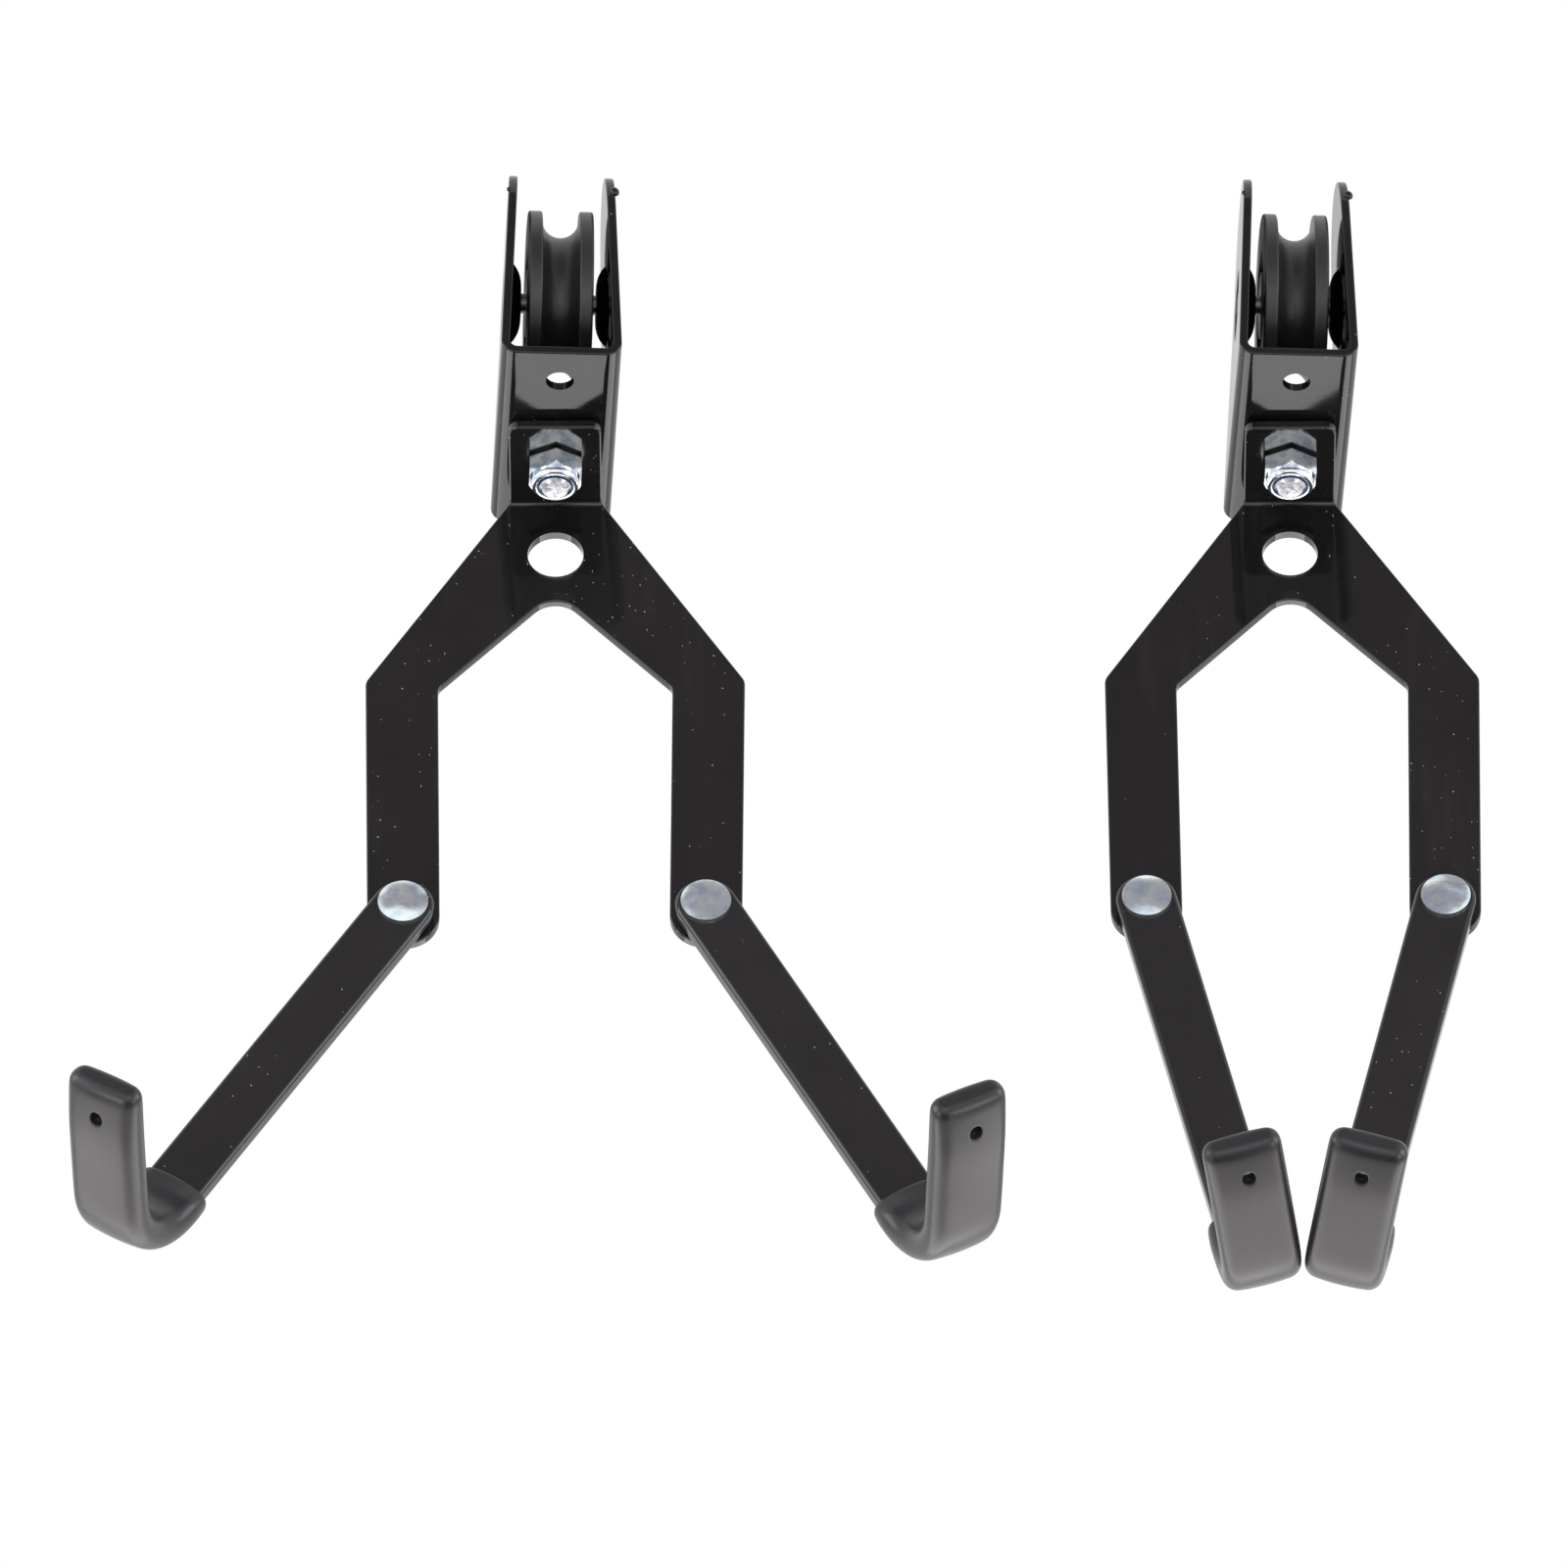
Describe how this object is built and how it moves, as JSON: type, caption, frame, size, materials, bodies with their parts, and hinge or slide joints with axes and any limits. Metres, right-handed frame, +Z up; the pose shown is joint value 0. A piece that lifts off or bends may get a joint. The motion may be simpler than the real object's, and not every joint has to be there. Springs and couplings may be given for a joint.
{
  "type": "bicycle hoist hooks",
  "caption": "Bicycle hoist hook units: a rope pulley in a bent bracket, a forked plate that swivels below it on a bolt, and riveted arms that fold and end in dipped hooks.",
  "frame": {"origin": "centre of the handlebar unit's pulley wheel, on its axle", "axes": "+Z up, +X from the handlebar unit towards the saddle unit's side, hooks open towards -Y"},
  "size_m": [0.3512, 0.1529, 0.3744],
  "materials": {
    "black_powder_coat": "gloss black powder coat on steel",
    "black_nylon": "satin black nylon",
    "bush_bronze": "oiled bronze, hidden",
    "zinc_plate": "bright zinc plate, slightly blue",
    "blue_nylon": "blue nylon",
    "grey_dip": "satin dark grey dipped soft vinyl"
  },
  "bodies": {
    "brackets": {"handlebar_pulley_bracket": "black_powder_coat", "handlebar_pulley_axle": "zinc_plate", "handlebar_swivel_bolt": "zinc_plate", "handlebar_bolt_head_washer": "zinc_plate", "handlebar_swivel_washer": "black_nylon", "handlebar_swivel_nut": "zinc_plate", "handlebar_nut_ring": "blue_nylon", "saddle_pulley_bracket": "black_powder_coat", "saddle_pulley_axle": "zinc_plate", "saddle_swivel_bolt": "zinc_plate", "saddle_bolt_head_washer": "zinc_plate", "saddle_swivel_washer": "black_nylon", "saddle_swivel_nut": "zinc_plate", "saddle_nut_ring": "blue_nylon"},
    "handlebar_wheel": {"handlebar_pulley_wheel": "black_nylon", "handlebar_wheel_bush": "bush_bronze"},
    "handlebar_plate": {"handlebar_hook_plate": "black_powder_coat", "handlebar_left_pivot_rivet": "zinc_plate", "handlebar_left_pivot_washer": "zinc_plate", "handlebar_right_pivot_rivet": "zinc_plate", "handlebar_right_pivot_washer": "zinc_plate"},
    "handlebar_left_arm": {"handlebar_left_hook_arm": "black_powder_coat", "handlebar_left_hook_sleeve": "grey_dip"},
    "handlebar_right_arm": {"handlebar_right_hook_arm": "black_powder_coat", "handlebar_right_hook_sleeve": "grey_dip"},
    "saddle_wheel": {"saddle_pulley_wheel": "black_nylon", "saddle_wheel_bush": "bush_bronze"},
    "saddle_plate": {"saddle_hook_plate": "black_powder_coat", "saddle_left_pivot_rivet": "zinc_plate", "saddle_left_pivot_washer": "zinc_plate", "saddle_right_pivot_rivet": "zinc_plate", "saddle_right_pivot_washer": "zinc_plate"},
    "saddle_left_arm": {"saddle_left_hook_arm": "black_powder_coat", "saddle_left_hook_sleeve": "grey_dip"},
    "saddle_right_arm": {"saddle_right_hook_arm": "black_powder_coat", "saddle_right_hook_sleeve": "grey_dip"}
  },
  "joints": [
    {"name": "handlebar_wheel_spin", "type": "hinge", "parent": "brackets", "child": "handlebar_wheel", "pos_m": [0, 0, 0], "axis": [0.9988, 0.0489, 0], "continuous": true},
    {"name": "handlebar_plate_swivel", "type": "hinge", "parent": "brackets", "child": "handlebar_plate", "pos_m": [-0.00081, 0.01648, -0.0351], "axis": [0, 0, 1], "continuous": true},
    {"name": "handlebar_left_arm_swing", "type": "hinge", "parent": "handlebar_plate", "child": "handlebar_left_arm", "pos_m": [-0.03831, 0.02998, -0.1671], "axis": [0, 1, 0], "range_deg": [-46.1, 17]},
    {"name": "handlebar_right_arm_swing", "type": "hinge", "parent": "handlebar_plate", "child": "handlebar_right_arm", "pos_m": [0.03669, 0.02998, -0.1671], "axis": [0, -1, 0], "range_deg": [-41.9, 21.2]},
    {"name": "saddle_wheel_spin", "type": "hinge", "parent": "brackets", "child": "saddle_wheel", "pos_m": [0.1853, 0.0751, 0.0581], "axis": [0.9988, 0.0489, 0], "continuous": true},
    {"name": "saddle_plate_swivel", "type": "hinge", "parent": "brackets", "child": "saddle_plate", "pos_m": [0.18449, 0.09158, 0.023], "axis": [0, 0, 1], "continuous": true},
    {"name": "saddle_left_arm_swing", "type": "hinge", "parent": "saddle_plate", "child": "saddle_left_arm", "pos_m": [0.14699, 0.10508, -0.109], "axis": [0, 1, 0], "range_deg": [0, 63.15]},
    {"name": "saddle_right_arm_swing", "type": "hinge", "parent": "saddle_plate", "child": "saddle_right_arm", "pos_m": [0.22199, 0.10508, -0.109], "axis": [0, -1, 0], "range_deg": [0, 63.15]}
  ]
}
